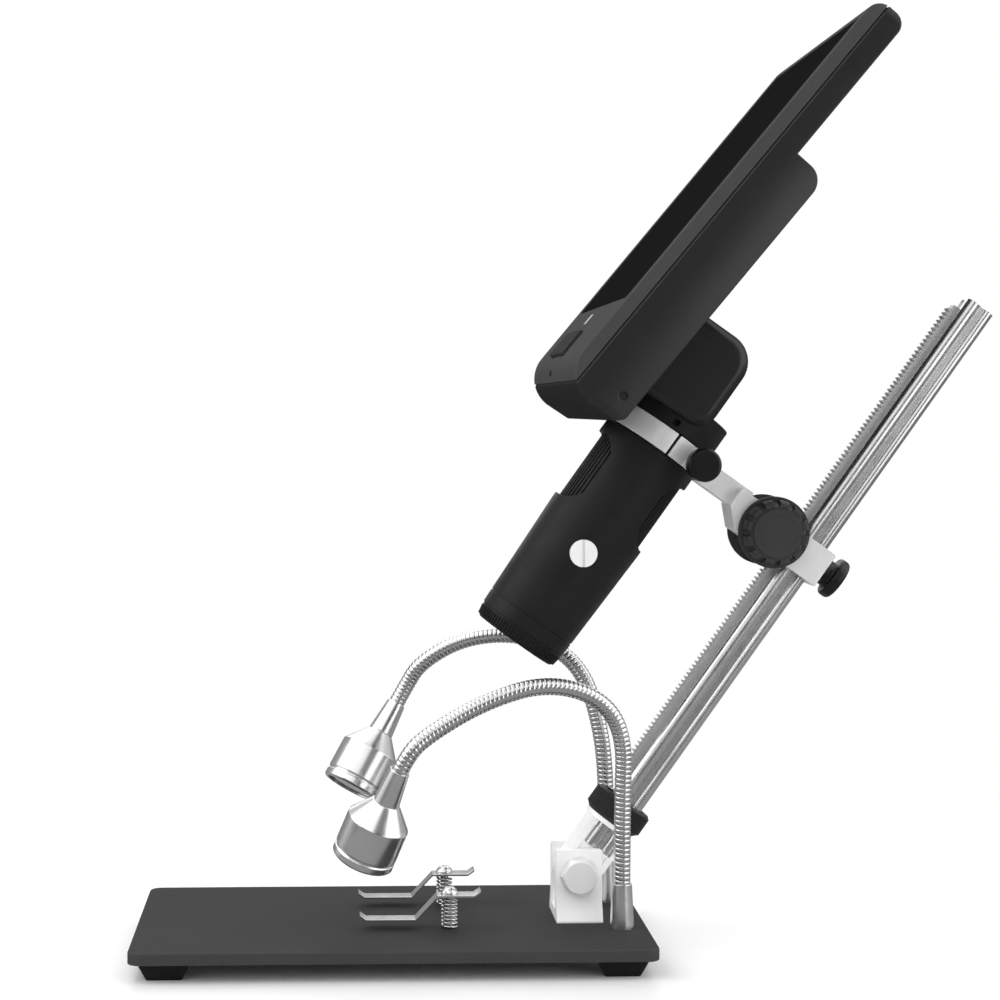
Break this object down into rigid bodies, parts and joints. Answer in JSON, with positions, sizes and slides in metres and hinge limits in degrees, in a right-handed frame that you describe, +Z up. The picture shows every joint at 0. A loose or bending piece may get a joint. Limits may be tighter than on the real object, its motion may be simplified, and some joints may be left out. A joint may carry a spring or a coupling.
{
  "type": "digital microscope with display",
  "caption": "Digital microscope head with a built-in display, on a tilting rack-and-pinion column over a flat base with stage clips and gooseneck lamps.",
  "frame": {"origin": "centre of the base plate's outline, at the level of the soles of the feet", "axes": "+X along the base towards the column, +Y across the base, +Z up; the display faces -X and up"},
  "size_m": [0.34, 0.172, 0.3616],
  "materials": {
    "base_black": "fine textured powder coat",
    "foot_rubber": "matt moulded rubber",
    "steel_bright": "bright zinc-plated steel",
    "aluminium_satin": "satin anodised, fine milling lines",
    "column_chrome": "polished drawn profile",
    "chrome_flex": "polished ribbed conduit",
    "lamp_aluminium": "turned and polished",
    "lens_glass": "clear moulded lens",
    "reflector": "bright reflector",
    "circuit_board": "soldered board",
    "knob_black": "satin moulded plastic",
    "bush_brass": "turned",
    "housing_black": "fine moulded grain",
    "bezel_grey": "fine matt grain",
    "grip_rubber": "ribbed soft rubber",
    "led_white": "clear white diode",
    "screen_gloss": "black-backed gloss glass",
    "panel_dark": "display panel",
    "indicator_light": "light window",
    "battery_wrap": "wrapped cell"
  },
  "bodies": {
    "stand": {"base_plate": "base_black", "base_feet": "foot_rubber", "foot_screws": "steel_bright", "tilt_bracket": "aluminium_satin", "bracket_screws": "steel_bright", "tilt_bolt": "steel_bright", "tilt_washers": "steel_bright", "tilt_nut": "steel_bright", "gooseneck_near": "chrome_flex", "gooseneck_far": "chrome_flex", "base_ferrules": "chrome_flex", "gooseneck_nuts": "steel_bright", "lamp_ferrules": "chrome_flex", "lamp_housings": "lamp_aluminium", "lamp_boards": "circuit_board", "lamp_reflectors": "reflector", "lamp_lenses": "lens_glass", "clip_screws": "steel_bright", "clip_springs": "steel_bright"},
    "clip_near": {"stage_clip_near": "steel_bright"},
    "clip_far": {"stage_clip_far": "steel_bright"},
    "tilting_column": {"pivot_block": "aluminium_satin", "column": "column_chrome", "rack": "column_chrome", "rack_screws": "steel_bright"},
    "clamping_nut": {"column_nut": "knob_black"},
    "focus_carriage": {"carriage": "aluminium_satin", "shaft_bushes": "bush_brass", "clamp_arm": "aluminium_satin"},
    "focus_drive": {"pinion_shaft": "steel_bright", "focus_knob_near": "knob_black", "focus_knob_far": "knob_black"},
    "carriage_lock": {"lock_screw": "knob_black"},
    "ring_lock": {"ring_screw": "knob_black"},
    "microscope": {"barrel_shell": "housing_black", "grip_pads": "grip_rubber", "lens_ring": "housing_black", "slotted_plug": "aluminium_satin", "objective_tube": "housing_black", "objective_lenses": "lens_glass", "ring_light_board": "circuit_board", "ring_light_leds": "led_white", "sensor_holder": "housing_black", "sensor_board": "circuit_board", "barrel_neck": "housing_black", "link_housing": "housing_black", "display_rear_shell": "housing_black", "display_bezel": "bezel_grey", "screen_glass": "screen_gloss", "screen_panel": "panel_dark", "indicator_window": "indicator_light", "main_board": "circuit_board", "battery": "battery_wrap", "key_switches": "housing_black", "shell_screws": "steel_bright", "power_jack": "housing_black"},
    "left_key": {"key_left": "bezel_grey"},
    "middle_key": {"key_middle": "bezel_grey"},
    "right_key": {"key_right": "bezel_grey"}
  },
  "joints": [
    {"name": "stand_tilt", "type": "hinge", "parent": "stand", "child": "tilting_column", "pos_m": [0.0742, 0, 0.0303], "axis": [0, 1, 0], "range_deg": [-35.4, 54.6]},
    {"name": "clamping_nut_turn", "type": "hinge", "parent": "tilting_column", "child": "clamping_nut", "pos_m": [0.091, 0, 0.05394], "axis": [0.5793, 0, 0.8151], "range_deg": [0, 360]},
    {"name": "focus_slide", "type": "slide", "parent": "tilting_column", "child": "focus_carriage", "axis": [0.5793, 0, 0.8151], "range_m": [-0.06, 0.1]},
    {"name": "focus_knob_turn", "type": "hinge", "parent": "focus_carriage", "child": "focus_drive", "pos_m": [0.15113, 0, 0.16579], "axis": [0, 1, 0], "range_deg": [-479, 797]},
    {"name": "carriage_lock_turn", "type": "hinge", "parent": "focus_carriage", "child": "carriage_lock", "pos_m": [0.17365, 0, 0.14953], "axis": [0.8151, 0, -0.5793], "range_deg": [0, 360]},
    {"name": "ring_lock_turn", "type": "hinge", "parent": "focus_carriage", "child": "ring_lock", "pos_m": [0.12095, -0.02, 0.19275], "axis": [0, 1, 0], "range_deg": [0, 360]},
    {"name": "microscope_turn", "type": "hinge", "parent": "focus_carriage", "child": "microscope", "pos_m": [0.10668, 0, 0.20289], "axis": [0.5793, 0, 0.8151], "range_deg": [-45, 45]},
    {"name": "clip_near_swivel", "type": "hinge", "parent": "stand", "child": "clip_near", "pos_m": [0.0225, -0.021, 0.0248], "axis": [0, 0, 1], "range_deg": [-40, 40]},
    {"name": "clip_far_swivel", "type": "hinge", "parent": "stand", "child": "clip_far", "pos_m": [0.0225, 0.021, 0.0248], "axis": [0, 0, 1], "range_deg": [-40, 40]},
    {"name": "left_key_press", "type": "slide", "parent": "microscope", "child": "left_key", "axis": [0.7683, 0, -0.6401], "range_m": [0, 0.0005], "stiffness_N_per_m": 200},
    {"name": "middle_key_press", "type": "slide", "parent": "microscope", "child": "middle_key", "axis": [0.7683, 0, -0.6401], "range_m": [0, 0.0005], "stiffness_N_per_m": 200},
    {"name": "right_key_press", "type": "slide", "parent": "microscope", "child": "right_key", "axis": [0.7683, 0, -0.6401], "range_m": [0, 0.0005], "stiffness_N_per_m": 200}
  ],
  "couplings": [
    {"joint": "focus_knob_turn", "follows": "focus_slide", "rad_per_m": 138.89}
  ]
}
